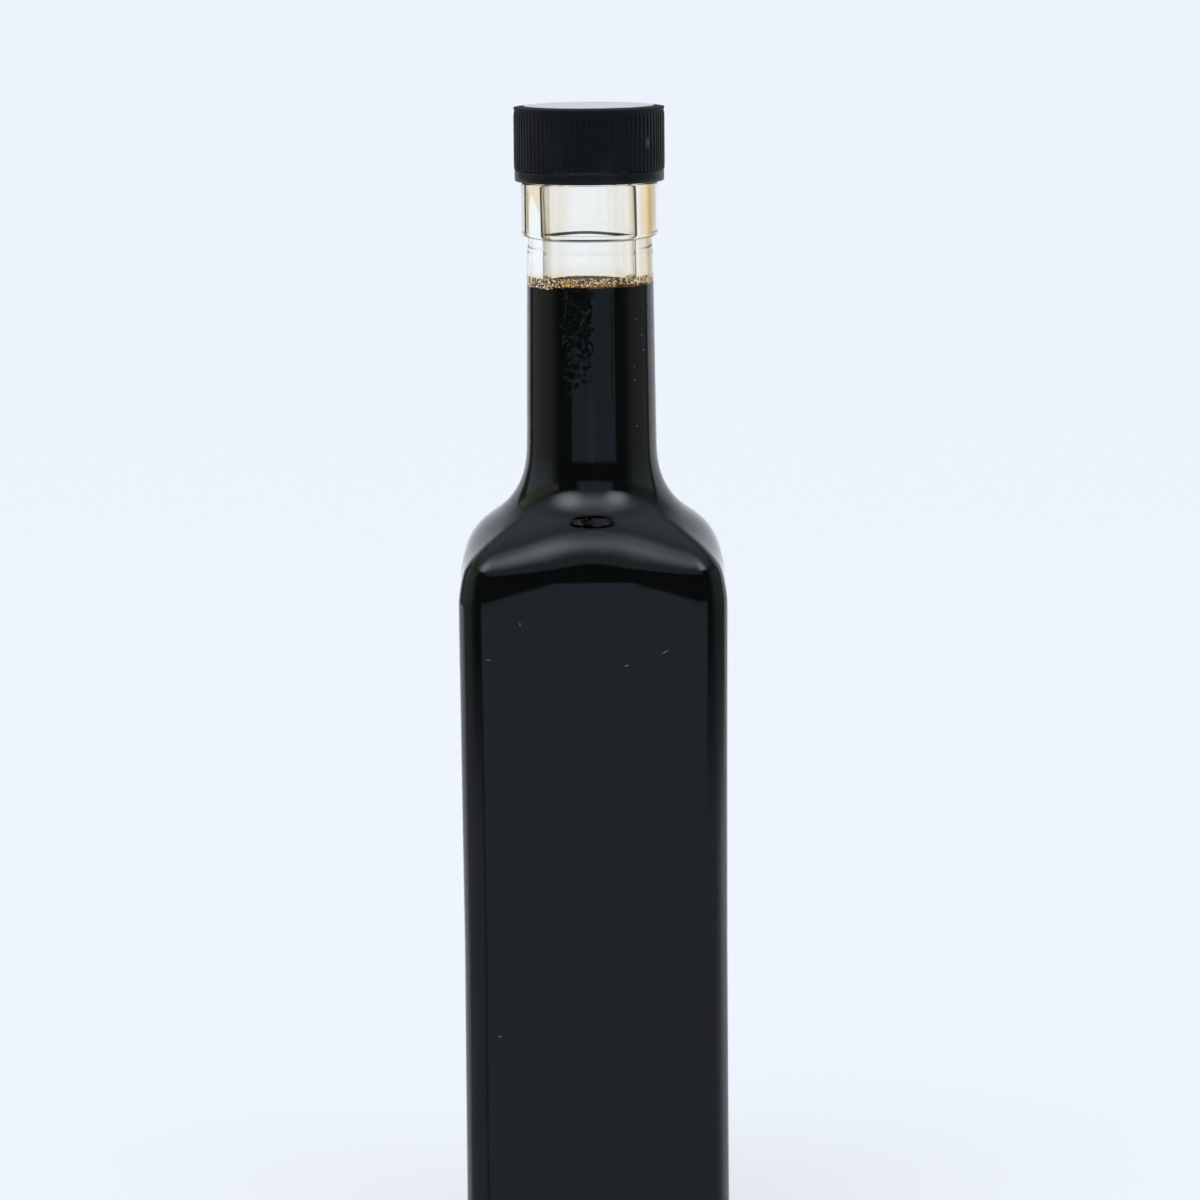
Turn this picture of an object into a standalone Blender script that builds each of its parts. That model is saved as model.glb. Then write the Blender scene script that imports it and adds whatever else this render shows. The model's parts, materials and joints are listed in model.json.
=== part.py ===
"""Pomegranate molasses bottle: a square glass bottle with a ribbed screw cap.

The bottle stands upright on the origin and is built in metres, with +Z up.
"""
import math

import bmesh
import bpy
from mathutils import Matrix, Vector

MM = 0.001

# Heights above the surface that the bottle stands on.
BODY_TOP = 148.0 * MM
SQUARE_TOP = 156.5 * MM
SHOULDER_TURN = 174.5 * MM
ROUND_FOOT = 177.5 * MM
NECK_FOOT = 192.7 * MM
NECK_TOP = 237.6 * MM
COLLAR_FOOT = 238.2 * MM
CAP_FOOT = 251.1 * MM
CAP_TOP = 268.5 * MM
FILL_LEVEL = 226.5 * MM
FROTH_DEPTH = 2.0 * MM

# Half widths of the glass, which are radii where it is round.
BASE_HALF = 30.7 * MM
BODY_HALF = 30.55 * MM
BODY_TOP_HALF = 30.95 * MM
TURN_HALF = 22.45 * MM
NECK_FOOT_RADIUS = 15.15 * MM
NECK_TOP_RADIUS = 14.45 * MM
COLLAR_RADIUS = 15.85 * MM
FINISH_RADIUS = 14.9 * MM
BORE_RADIUS = 10.8 * MM

# Thickness of the glass, its corners and its foot.
BODY_WALL = 3.2 * MM
BASE_WALL = 4.5 * MM
CORNER_RADIUS = 7.5 * MM
HEEL_RADIUS = 3.0 * MM
FOOT_WIDTH = 3.5 * MM
PUSH_UP = 2.5 * MM
LIP_ROUND = 0.8 * MM

# The cap, its ribs and its tamper band.
CAP_RADIUS = 17.5 * MM
CAP_BORE_RADIUS = 15.9 * MM
CAP_DECK = 1.5 * MM
CAP_DISC_RADIUS = 15.1 * MM
CAP_EDGE_ROUND = 0.35 * MM
CAP_EDGE_DROP = 0.35 * MM
RIBS = 84
RIB_DEPTH = 0.28 * MM
RIB_GROOVE = 0.85 * MM
BAND_HEIGHT = 2.6 * MM
BAND_INSET = 0.15 * MM
BAND_CHAMFER = 0.3 * MM
SLIT_HEIGHT = 0.35 * MM
BRIDGES = 12
BRIDGE_WIDTH = 0.9 * MM

# Clearances between pieces that touch, and the fineness of the mesh.
GAP = 0.3 * MM
POINTS_PER_FACE = 5
POINTS_PER_CORNER = 8
SHOULDER_STEPS = 10
FROTH_RINGS = 7
FROTH_POINTS = 40


def clear_scene():
    """Remove whatever the scene holds."""
    for thing in list(bpy.data.objects):
        bpy.data.objects.remove(thing, do_unlink=True)


def collection(name):
    """Return a new collection linked to the scene."""
    group = bpy.data.collections.new(name)
    bpy.context.scene.collection.children.link(group)
    return group


def material(name, colour, roughness, alpha=1.0):
    """Return a Principled material of one colour."""
    look = bpy.data.materials.new(name)
    look.use_nodes = True
    shader = look.node_tree.nodes["Principled BSDF"]
    shader.inputs["Base Color"].default_value = (*colour, 1.0)
    shader.inputs["Roughness"].default_value = roughness
    shader.inputs["Metallic"].default_value = 0.0
    shader.inputs["Alpha"].default_value = alpha
    look.diffuse_color = (*colour, alpha)
    return look


def add_object(name, mesh, group, look=None):
    """Put a mesh in the scene as a named object."""
    thing = bpy.data.objects.new(name, mesh)
    group.objects.link(thing)
    if look:
        mesh.materials.append(look)
    return thing


def add_cutter(name, mesh, group):
    """Put a cutter in the scene, drawn as wire and never rendered."""
    cutter = add_object(name, mesh, group)
    cutter.hide_render = True
    cutter.display_type = 'WIRE'
    return cutter


def bezier(start, start_pull, end_pull, end, steps):
    """Points (height, half width) along a cubic curve, both ends included."""
    points = []
    for step in range(steps + 1):
        t = step / steps
        weights = ((1 - t) ** 3, 3 * t * (1 - t) ** 2, 3 * t * t * (1 - t), t ** 3)
        knots = (start, start_pull, end_pull, end)
        points.append(tuple(sum(w * k[axis] for w, k in zip(weights, knots)) for axis in (0, 1)))
    return points


def arc(centre, radius, from_angle, to_angle, steps):
    """Points (height, half width) on an arc, its angle taken from the height axis."""
    points = []
    for step in range(steps + 1):
        angle = from_angle + (to_angle - from_angle) * step / steps
        points.append((centre[0] + radius * math.cos(angle), centre[1] + radius * math.sin(angle)))
    return points


def eased(value, low, high):
    """A smooth step from 0 at low to 1 at high."""
    t = min(max((value - low) / (high - low), 0.0), 1.0)
    return t * t * (3.0 - 2.0 * t)


def squareness(height):
    """1 where the bottle is square in plan, falling to 0 in its round neck, gently at first."""
    gentle = min(max((height - SQUARE_TOP) / (15.5 * MM), 0.0), 1.0)
    return 1.0 - 0.24 * gentle - 0.76 * eased(height, SQUARE_TOP + 6 * MM, ROUND_FOOT)


def section(height, half, inset):
    """Plan outline at a height: a rounded square blended with a circle.

    The inset is the depth below the outer face, by which the corners are tighter.
    """
    corner = min(CORNER_RADIUS - inset, half * 0.9)
    flat = half - corner
    face = [Vector((half, flat * (2 * place / POINTS_PER_FACE - 1))) for place in range(POINTS_PER_FACE)]
    turns = [math.radians(90 * place / POINTS_PER_CORNER) for place in range(POINTS_PER_CORNER)]
    bend = [Vector((flat + corner * math.cos(turn), flat + corner * math.sin(turn))) for turn in turns]
    square = squareness(height)
    points = []
    for quarter in range(4):
        turned_by = Matrix.Rotation(math.radians(90 * quarter), 2)
        for spot in face + bend:
            plan = turned_by @ spot.lerp(spot.normalized() * half, 1.0 - square)
            points.append((*plan, height))
    return points


def lofted_mesh(name, rings):
    """Skin a surface through rings of equal count, and close its first and last ring."""
    form = bmesh.new()
    loops = [[form.verts.new(point) for point in ring] for ring in rings]
    for near, far in zip(loops, loops[1:]):
        for index in range(len(near)):
            following = (index + 1) % len(near)
            form.faces.new((near[index], near[following], far[following], far[index]))
    form.faces.new(loops[0][::-1])
    form.faces.new(loops[-1])
    bmesh.ops.recalc_face_normals(form, faces=form.faces)
    mesh = bpy.data.meshes.new(name)
    form.to_mesh(mesh)
    form.free()
    return mesh


def outer_shoulder():
    """The curve from the square body up into the neck, as the outer face has it."""
    run = Vector((0.6, -0.8))
    turn = Vector((SHOULDER_TURN, TURN_HALF))
    body = (BODY_TOP, BODY_TOP_HALF)
    body_pull = (BODY_TOP + 16 * MM, BODY_TOP_HALF)
    neck = (NECK_FOOT, NECK_FOOT_RADIUS)
    neck_pull = (NECK_FOOT - 5.2 * MM, NECK_FOOT_RADIUS + 0.3 * MM)
    upper = bezier(body, body_pull, turn - run * 9.9 * MM, turn, SHOULDER_STEPS)
    lower = bezier(turn, turn + run * 9.9 * MM, neck_pull, neck, SHOULDER_STEPS)
    return upper + lower[1:]


def outer_outline():
    """Outside of the glass from the rim of the push-up to the lip."""
    heel = arc((HEEL_RADIUS, BASE_HALF - HEEL_RADIUS), HEEL_RADIUS, math.pi, math.pi / 2, 3)
    belly = [(BODY_TOP / 2, BODY_HALF)]
    neck = [(NECK_TOP - 8 * MM, NECK_TOP_RADIUS + 0.3 * MM), (NECK_TOP, NECK_TOP_RADIUS)]
    bead = arc((COLLAR_FOOT + 0.9 * MM, COLLAR_RADIUS - 0.9 * MM), 0.9 * MM, math.pi, math.pi / 2, 3)
    collar_top = CAP_FOOT - GAP
    collar = [(collar_top - 0.4 * MM, COLLAR_RADIUS), (collar_top, COLLAR_RADIUS - 0.4 * MM)]
    finish = [(collar_top, FINISH_RADIUS)]
    lip_height = CAP_TOP - CAP_DECK - GAP
    lip = arc((lip_height - LIP_ROUND, FINISH_RADIUS - LIP_ROUND), LIP_ROUND, math.pi / 2, 0, 2)
    return heel + belly + outer_shoulder() + neck + bead + collar + finish + lip


def inner_outline():
    """Inside of the glass from its floor to the lip."""
    floor = PUSH_UP + BASE_WALL
    half = BODY_HALF - BODY_WALL
    cove = arc((floor + HEEL_RADIUS, half - HEEL_RADIUS), HEEL_RADIUS, math.pi, math.pi / 2, 3)
    walls = [(height, width - wall_at(height)) for height, width in outer_shoulder()]
    lip_height = CAP_TOP - CAP_DECK - GAP
    inner_lip = arc((lip_height - LIP_ROUND, BORE_RADIUS + LIP_ROUND), LIP_ROUND, -math.pi / 2, 0, 2)
    return cove + walls + inner_lip


def wall_at(height):
    """Thickness of the glass, which grows from the body wall to the neck wall."""
    neck_wall = NECK_FOOT_RADIUS - BORE_RADIUS - 0.4 * MM
    t = min(max((height - BODY_TOP) / (NECK_FOOT - BODY_TOP), 0.0), 1.0)
    return BODY_WALL + (neck_wall - BODY_WALL) * t


def build_bottle(group):
    """Glass bottle: foot and push-up, square body, shoulder, neck, collar and open mouth."""
    rim_half = BASE_HALF - HEEL_RADIUS - FOOT_WIDTH
    shares = (0.08, 0.5, 0.8, 1.0)
    dome = [section(PUSH_UP * (1 - share ** 3), rim_half * share, HEEL_RADIUS) for share in shares]
    outside = [section(height, half, 0) for height, half in outer_outline()]
    inside = [section(height, half, BODY_WALL) for height, half in reversed(inner_outline())]
    floor = [section(PUSH_UP + BASE_WALL, 2 * MM, 0)]
    mesh = lofted_mesh("bottle", dome + outside + inside + floor)
    look = material("clear_glass", (0.82, 0.87, 0.86), 0.05, alpha=0.35)
    return add_object("bottle", mesh, group, look)


def build_molasses(group):
    """Molasses as one solid, a gap inside the glass, up to its level in the neck."""
    rings = [section(PUSH_UP + BASE_WALL + GAP, 2 * MM, 0)]
    for height, half in inner_outline():
        lifted = height + GAP if height < BODY_TOP / 2 else height
        if lifted < FILL_LEVEL:
            rings.append(section(lifted, half - GAP, BODY_WALL + GAP))
    rings.append(section(FILL_LEVEL, BORE_RADIUS - GAP, BODY_WALL + GAP))
    look = material("dark_molasses", (0.012, 0.006, 0.004), 0.25)
    return add_object("molasses", lofted_mesh("molasses", rings), group, look)


def froth_height(radius, angle):
    """Height of the froth above its underside, with a ring of bubbles against the glass."""
    crowd = 0.5 + 0.5 * math.cos(11 * angle + 2.0 * math.sin(3 * angle))
    cells = 0.5 + 0.5 * math.cos(radius / (0.75 * MM)) * math.cos(9 * angle)
    rim = radius / BORE_RADIUS
    return FROTH_DEPTH * (0.62 + 0.2 * crowd * rim ** 4 + 0.16 * cells)


def build_froth(group):
    """Froth as a thin uneven disc that lies on the molasses."""
    foot = FILL_LEVEL + GAP
    outer = BORE_RADIUS - GAP
    angles = [2 * math.pi * index / FROTH_POINTS for index in range(FROTH_POINTS)]

    def ring(radius, height_of):
        return [(radius * math.cos(a), radius * math.sin(a), foot + height_of(radius, a)) for a in angles]

    radii = [outer * (1.0 - step / FROTH_RINGS) for step in range(FROTH_RINGS)]
    rings = [ring(outer, lambda radius, angle: 0.0)]
    rings += [ring(radius, froth_height) for radius in radii]
    rings.append(ring(outer * 0.05, lambda radius, angle: FROTH_DEPTH * 0.7))
    look = material("golden_froth", (0.42, 0.22, 0.08), 0.4)
    return add_object("froth", lofted_mesh("froth", rings), group, look)


def turned(name, outline, group, steps):
    """A profile of (radius, height) points turned about the vertical axis."""
    mesh = bpy.data.meshes.new(name)
    form = bmesh.new()
    points = [form.verts.new((radius, 0, height)) for radius, height in outline]
    for near, far in zip(points, points[1:]):
        form.edges.new((near, far))
    if outline[0][0] > 0:
        form.edges.new((points[-1], points[0]))
    form.to_mesh(mesh)
    form.free()
    thing = add_object(name, mesh, group)
    screw = thing.modifiers.new("Turn", 'SCREW')
    screw.axis = 'Z'
    screw.steps = screw.render_steps = steps
    screw.use_merge_vertices = True
    screw.merge_threshold = 0.00001
    screw.use_normal_calculate = True
    return thing


def cap_outline():
    """Half section of the cap, from the middle of its top round to the middle inside."""
    band_radius = CAP_RADIUS - BAND_INSET
    band_top = CAP_FOOT + BAND_HEIGHT
    edge_top = CAP_TOP - CAP_EDGE_DROP
    inside_top = CAP_TOP - CAP_DECK
    rim_round = arc((edge_top - CAP_EDGE_ROUND, CAP_RADIUS - CAP_EDGE_ROUND), CAP_EDGE_ROUND,
                    0.25 * math.pi / 2, math.pi / 2, 3)
    outline = [(0.0, CAP_TOP), (CAP_DISC_RADIUS, CAP_TOP)]
    outline += [(half, height) for height, half in rim_round]
    outline += [
        (CAP_RADIUS, band_top + SLIT_HEIGHT),
        (band_radius, band_top),
        (band_radius, CAP_FOOT + BAND_CHAMFER),
        (band_radius - BAND_CHAMFER, CAP_FOOT),
        (CAP_BORE_RADIUS + BAND_INSET, CAP_FOOT),
        (CAP_BORE_RADIUS, CAP_FOOT + BAND_CHAMFER),
        (CAP_BORE_RADIUS, inside_top),
        (0.0, inside_top),
    ]
    return outline


def groove_cutters(group):
    """The gaps between the cap's ribs: one slim prism for each, set round the skirt."""
    foot = CAP_FOOT + BAND_HEIGHT + SLIT_HEIGHT + 0.5 * MM
    top = CAP_TOP - CAP_EDGE_DROP - CAP_EDGE_ROUND
    form = bmesh.new()
    for rib in range(RIBS):
        turn = Matrix.Rotation(2 * math.pi * (rib + 0.5) / RIBS, 4, 'Z')
        place = turn @ Matrix.Translation((CAP_RADIUS, 0, (foot + top) / 2))
        made = bmesh.ops.create_cone(form, cap_ends=True, segments=4, radius1=1.0, radius2=1.0, depth=top - foot)
        size = Matrix.Diagonal((RIB_DEPTH, RIB_GROOVE / 2, 1.0, 1.0))
        bmesh.ops.transform(form, matrix=place @ size, verts=made["verts"])
    bmesh.ops.recalc_face_normals(form, faces=form.faces)
    mesh = bpy.data.meshes.new("rib_grooves")
    form.to_mesh(mesh)
    form.free()
    return add_cutter("rib_grooves", mesh, group)


def slit_cutter(group):
    """The slit that frees the tamper band, broken where the bridges hold it."""
    foot = CAP_FOOT + BAND_HEIGHT
    inner, outer = CAP_BORE_RADIUS - 1 * MM, CAP_RADIUS + 1 * MM
    outline = [(inner, foot), (outer, foot), (outer, foot + SLIT_HEIGHT), (inner, foot + SLIT_HEIGHT)]
    slit = turned("band_slit", outline, group, RIBS)
    slit.hide_render = True
    slit.display_type = 'WIRE'
    form = bmesh.new()
    for bridge in range(BRIDGES):
        turn = Matrix.Rotation(2 * math.pi * (bridge + 0.5) / BRIDGES, 4, 'Z')
        place = turn @ Matrix.Translation(((inner + outer) / 2, 0, foot))
        made = bmesh.ops.create_cube(form, size=1.0)
        size = Matrix.Diagonal((outer - inner + 1 * MM, BRIDGE_WIDTH, 4 * SLIT_HEIGHT, 1.0))
        bmesh.ops.transform(form, matrix=place @ size, verts=made["verts"])
    mesh = bpy.data.meshes.new("band_bridges")
    form.to_mesh(mesh)
    form.free()
    bridges = add_cutter("band_bridges", mesh, group)
    cut(slit, bridges)
    return slit


def cut(thing, cutter):
    """Take a cutter's volume out of an object."""
    boolean = thing.modifiers.new("Cut " + cutter.name, 'BOOLEAN')
    boolean.operation = 'DIFFERENCE'
    boolean.solver = 'EXACT'
    boolean.object = cutter


def build_cap(group, cutters):
    """Screw cap: plain top, ribbed skirt and the tamper band that its bridges hold."""
    cap = turned("cap", cap_outline(), group, RIBS)
    cap.data.materials.append(material("black_cap", (0.012, 0.014, 0.017), 0.35))
    cut(cap, groove_cutters(cutters))
    cut(cap, slit_cutter(cutters))
    return cap


def main():
    clear_scene()
    parts = collection("pomegranate_molasses_bottle")
    cutters = collection("cutters")
    build_bottle(parts)
    build_molasses(parts)
    build_froth(parts)
    build_cap(parts, cutters)


main()
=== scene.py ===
"""Looks of a square bottle of pomegranate molasses: glass, air seeds, contents, froth, residue and cap.

The bottle stands on the origin, in metres, with +Z up and its front towards -Y.
"""

import json
import math

import bmesh
import bpy
import numpy as np
from bpy.props import FloatProperty, FloatVectorProperty, IntProperty, PointerProperty
from mathutils import Matrix, Vector, noise

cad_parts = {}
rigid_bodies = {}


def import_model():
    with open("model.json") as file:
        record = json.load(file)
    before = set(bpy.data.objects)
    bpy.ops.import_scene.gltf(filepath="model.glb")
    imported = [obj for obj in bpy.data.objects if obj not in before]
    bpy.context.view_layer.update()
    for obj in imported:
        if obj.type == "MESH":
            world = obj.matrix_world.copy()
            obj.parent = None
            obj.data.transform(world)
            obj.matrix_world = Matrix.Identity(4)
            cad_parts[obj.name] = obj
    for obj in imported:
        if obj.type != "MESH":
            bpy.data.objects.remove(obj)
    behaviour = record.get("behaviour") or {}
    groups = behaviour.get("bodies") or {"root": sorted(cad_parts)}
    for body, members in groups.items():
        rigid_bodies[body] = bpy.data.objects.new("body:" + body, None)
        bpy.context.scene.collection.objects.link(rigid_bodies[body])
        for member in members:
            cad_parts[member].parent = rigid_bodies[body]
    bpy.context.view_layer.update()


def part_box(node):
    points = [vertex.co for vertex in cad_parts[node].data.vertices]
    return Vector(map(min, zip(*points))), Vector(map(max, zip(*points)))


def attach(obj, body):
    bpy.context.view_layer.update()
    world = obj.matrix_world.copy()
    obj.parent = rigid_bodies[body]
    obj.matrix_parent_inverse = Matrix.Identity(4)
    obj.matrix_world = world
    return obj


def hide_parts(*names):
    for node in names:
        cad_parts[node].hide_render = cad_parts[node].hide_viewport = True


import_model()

bl_info = {
    "name": "Square Molasses Bottle",
    "version": (1, 0, 0),
    "blender": (4, 5, 0),
    "location": "3D View > Sidebar > Bottle",
    "description": "Builds a square glass bottle of dark molasses with a ribbed screw cap",
    "category": "Object",
}

MM = 0.001
BODY = "root"

# Sizes that the frame gives.
BOTTLE_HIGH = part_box("bottle")[1]
CAP_LOW, CAP_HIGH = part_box("cap")
MOLASSES_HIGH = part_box("molasses")[1]

# Heights of the glass.
BODY_TOP = 152.1 * MM
SQUARE_TOP = 156.5 * MM
SHOULDER_TURN = 174.2 * MM
ROUND_FOOT = 177.5 * MM
NECK_FOOT = 192.7 * MM
PARTING_LINE = 234.6 * MM
NECK_TOP = 237.6 * MM
COLLAR_FOOT = 238.2 * MM
COLLAR_TOP = CAP_LOW.z - 0.3 * MM
LIP = BOTTLE_HIGH.z
FILL_LEVEL = MOLASSES_HIGH.z

# Half widths of the glass, which are radii where it is round.
BASE_HALF = 30.7 * MM
BODY_HALF = 30.55 * MM
BODY_TOP_HALF = BOTTLE_HIGH.x
TURN_HALF = 22.86 * MM
NECK_FOOT_RADIUS = 15.15 * MM
NECK_TOP_RADIUS = 14.45 * MM
COLLAR_RADIUS = 15.85 * MM
FINISH_RADIUS = 14.9 * MM
BORE_RADIUS = 10.8 * MM

# Rounded edges of the glass.
HEEL_RADIUS = 3.0 * MM
FILLET_RADIUS = 0.2 * MM
BEAD_RADIUS = 1.15 * MM
COLLAR_EDGE = 0.4 * MM
LIP_EDGE = 0.8 * MM

# Thickness of the glass and the shape of its foot.
BASE_WALL = 4.5 * MM
FOOT_WIDTH = 3.5 * MM
PUSH_UP = 2.5 * MM
INNER_FLOOR = PUSH_UP + BASE_WALL

# How far the glass departs from true: a lean of the bore, and shallow waves over the outer face.
BORE_LEAN = 0.3 * MM
FACE_WAVES = 0.05 * MM
FACE_WAVE_LENGTH = 16 * MM
BORE_WAVE_LENGTH = 9 * MM
FACE_CHANCE, BORE_CHANCE = 9.0, 3.0

# How far the contents run into the glass, and how far the molasses' skin lies above the CAD level.
WETTING = 0.15 * MM
SKIN_LIFT = 0.8 * MM

# Air seeds in the front of the glass: across and height in mm, length in mm and lean in degrees.
SEEDS = ((-24.1, 143.6, 1.4, 12), (7.6, 142.0, 1.1, -8), (16.4, 145.1, 1.6, -28), (-16.8, 151.8, 0.9, 85),
         (-22.4, 55.2, 0.7, 20), (11.9, 222.8, 0.5, 70), (11.6, 215.9, 0.5, 40), (12.0, 212.4, 0.8, 10),
         (10.5, 219.7, 0.4, 0), (9.9, 208.7, 0.4, 60), (9.9, 205.7, 0.4, 20), (10.3, 194.9, 0.4, 0))
SEED_WIDTH, SEED_DEPTH = 0.17, 0.1
# Where they lie: their distance from the axis in the neck and their depth in the front face, in mm.
SEED_NECK_RADIUS, SEED_FACE = 14.5, -30.35

# The cap: the glossy disc on top, the rim a little below it, the walls and the tamper band.
CAP_DISC = 15.1 * MM
CAP_RIM_DROP = 0.35 * MM
CAP_ROUNDING = 0.12 * MM
CAP_TOP_WALL = 1.5 * MM
CAP_WALL = 1.6 * MM
BAND_INSET = 0.15 * MM
BAND_CHAMFER = 0.3 * MM

# Fineness of the meshes.
AROUND_CORNER = 16
ALONG_FACE = 36
RING_GAP = 2.2 * MM
AROUND_CAP = 252

DEGREES = 180 / math.pi

# The stage.
FLOOR_SIZE = 28.0
LIGHT_SIZE = 0.9
LIGHT_PLACE = Vector((-0.35, -0.75, 1.25))


# ---- settings


class GlassSettings(bpy.types.PropertyGroup):
    """Sizes and colours of the glass."""

    wall: FloatProperty(name="Wall", description="Thickness of the body's glass", default=3.2 * MM,
                        unit='LENGTH')
    corner: FloatProperty(name="Corner", description="Radius of the body's upright corners", default=7.5 * MM,
                          unit='LENGTH')
    unevenness: FloatProperty(name="Unevenness", description="How far the bore wanders from true",
                              default=0.22 * MM, unit='LENGTH')
    tint: FloatVectorProperty(name="Tint", description="Colour of the glass", subtype='COLOR',
                              default=(0.982, 0.982, 0.975), min=0, max=1)


class ContentsSettings(bpy.types.PropertyGroup):
    """Colours of the molasses and the size and number of its bubbles."""

    molasses: FloatVectorProperty(name="Molasses", description="Colour of the molasses", subtype='COLOR',
                                  default=(0.0006, 0.0005, 0.0004), min=0, max=1)
    froth: FloatVectorProperty(name="Froth", description="Colour of the froth", subtype='COLOR',
                               default=(0.80, 0.50, 0.18), min=0, max=1)
    residue: FloatVectorProperty(name="Residue", description="Colour of the film left on the bore",
                                 subtype='COLOR', default=(0.90, 0.70, 0.38), min=0, max=1)
    bubble: FloatProperty(name="Bubble", description="Radius of a middling bubble", default=0.165 * MM,
                          unit='LENGTH')
    bubbles: FloatProperty(name="Bubbles", description="Bubbles for each square metre of the wall",
                           default=1.9e7)
    seed: IntProperty(name="Seed", description="Changes the places of the bubbles", default=7)


class CapSettings(bpy.types.PropertyGroup):
    """Sizes and colours of the screw cap."""

    ribs: IntProperty(name="Ribs", description="Number of ribs round the skirt", default=84)
    rib_width: FloatProperty(name="Rib width", description="Width of one rib", default=1.3 * MM,
                             unit='LENGTH')
    rib_depth: FloatProperty(name="Rib depth", description="How far a rib stands out", default=0.2 * MM,
                             unit='LENGTH')
    band_height: FloatProperty(name="Band", description="Height of the tamper band", default=2.6 * MM,
                               unit='LENGTH')
    slit: FloatProperty(name="Slit", description="Height of the slit above the band", default=0.18 * MM,
                        unit='LENGTH')
    bridges: IntProperty(name="Bridges", description="Number of bridges across the slit", default=134)
    plastic: FloatVectorProperty(name="Plastic", description="Colour of the plastic", subtype='COLOR',
                                 default=(0.0024, 0.0028, 0.0042), min=0, max=1)


class StageSettings(bpy.types.PropertyGroup):
    """Camera, floor and light."""

    distance: FloatProperty(name="Distance", description="From the bottle to the camera, along the floor",
                            default=1.2067, unit='LENGTH')
    height: FloatProperty(name="Height", description="Height of the camera", default=0.33385, unit='LENGTH')
    lens: FloatProperty(name="Lens", description="Focal length in millimetres", default=156.0)
    pitch: FloatProperty(name="Pitch", description="How far the camera looks down",
                         default=math.radians(8.538), subtype='ANGLE')
    yaw: FloatProperty(name="Yaw", description="How far the camera looks to the right of the bottle",
                       default=math.radians(0.0768), subtype='ANGLE')
    roll: FloatProperty(name="Roll", description="How far the camera is tilted", default=math.radians(0.49),
                        subtype='ANGLE')
    backdrop: FloatVectorProperty(name="Backdrop", description="Colour of the floor and backdrop",
                                  subtype='COLOR', default=(0.855, 0.913, 0.982), min=0, max=1)
    light: FloatProperty(name="Light", description="Power of the overhead light in watts", default=2.0)


# ---- node trees


class Term:
    """A number in a node tree. Arithmetic on it adds Math nodes."""

    def __init__(self, tree, socket):
        self.tree = tree
        self.socket = socket

    def math(self, operation, *others):
        """Add a Math node that takes this number first."""
        return self.tree.math(operation, self, *others)

    def __add__(self, other):
        return self.math('ADD', other)

    def __sub__(self, other):
        return self.math('SUBTRACT', other)

    def __rsub__(self, other):
        return self.tree.math('SUBTRACT', other, self)

    def __mul__(self, other):
        return self.math('MULTIPLY', other)

    def __truediv__(self, other):
        return self.math('DIVIDE', other)

    def __neg__(self):
        return self.math('MULTIPLY', -1.0)

    def __pow__(self, other):
        return self.math('POWER', other)

    __radd__ = __add__
    __rmul__ = __mul__


class Tree:
    """A node tree that is written as expressions."""

    def __init__(self, owner):
        owner.use_nodes = True
        self.tree = owner.node_tree
        self.tree.nodes.clear()

    def node(self, kind, settings=None, values=None, output=0):
        """Add a node: its settings first, then the values or links of its sockets."""
        made = self.tree.nodes.new(kind)
        for name, setting in (settings or {}).items():
            setattr(made, name, setting)
        self.fill(made, values or {})
        return Term(self, made.outputs[output])

    def math(self, operation, *terms):
        """Add a Math node."""
        return self.node('ShaderNodeMath', {"operation": operation}, dict(enumerate(terms)))

    def fill(self, made, values):
        """Set or link the inputs of a node. A list links several terms to one input."""
        for name, value in values.items():
            for source in value if isinstance(value, list) else [value]:
                if isinstance(source, Term):
                    self.tree.links.new(source.socket, made.inputs[name])
                else:
                    made.inputs[name].default_value = source

    def also(self, term, output):
        """Another output of the node that a term comes from."""
        return Term(self, term.socket.node.outputs[output])

    def mix(self, share, first, second):
        """Blend two colours."""
        settings = {"data_type": 'RGBA'}
        return self.node('ShaderNodeMix', settings, {0: share, 6: colour(first), 7: colour(second)}, 2)

    def step(self, value, low, high, start=0.0, end=1.0):
        """A smooth step of a value from start at low to end at high."""
        settings = {"interpolation_type": 'SMOOTHSTEP'}
        return self.node('ShaderNodeMapRange', settings, {0: value, 1: low, 2: high, 3: start, 4: end})

    def fall(self, value, low, high):
        """A smooth step of a value from 1 at low to 0 at high."""
        return self.step(value, low, high, 1.0, 0.0)

    def window(self, value, low, high, soft):
        """1 between two bounds and 0 outside them, with soft edges."""
        return self.step(value, low - soft, low + soft) * self.fall(value, high - soft, high + soft)

    def place(self):
        """Object coordinates."""
        return self.node('ShaderNodeTexCoord', output="Object")

    def noise(self, scale, detail, upright=1.0, distortion=0.0):
        """Smooth noise from 0 to 1 on object coordinates, finer or coarser along the height."""
        where = self.node('ShaderNodeMapping', None, {"Vector": self.place(), "Scale": (1.0, 1.0, upright)})
        values = {"Vector": where, "Scale": scale, "Detail": detail, "Distortion": distortion}
        return self.node('ShaderNodeTexNoise', None, values)

    def split(self):
        """Object coordinates as three numbers."""
        parts = self.node('ShaderNodeSeparateXYZ', None, {0: self.place()})
        return parts, self.also(parts, 1), self.also(parts, 2)

    def azimuth(self, across, depth):
        """Degrees round the upright axis, 0 at the front and rising to the right."""
        return across.math('ARCTAN2', -depth) * DEGREES

    def bump(self, height, distance):
        """A shallow relief: the normal from a height."""
        return self.node('ShaderNodeBump', None, {"Height": height, "Distance": distance, "Strength": 0.35})

    def end(self, result, kind='ShaderNodeOutputMaterial'):
        """End the tree with its result."""
        self.fill(self.tree.nodes.new(kind), {0: result})


def colour(value):
    """A colour as a socket takes it."""
    return value if isinstance(value, Term) else (*value, 1.0)


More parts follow.
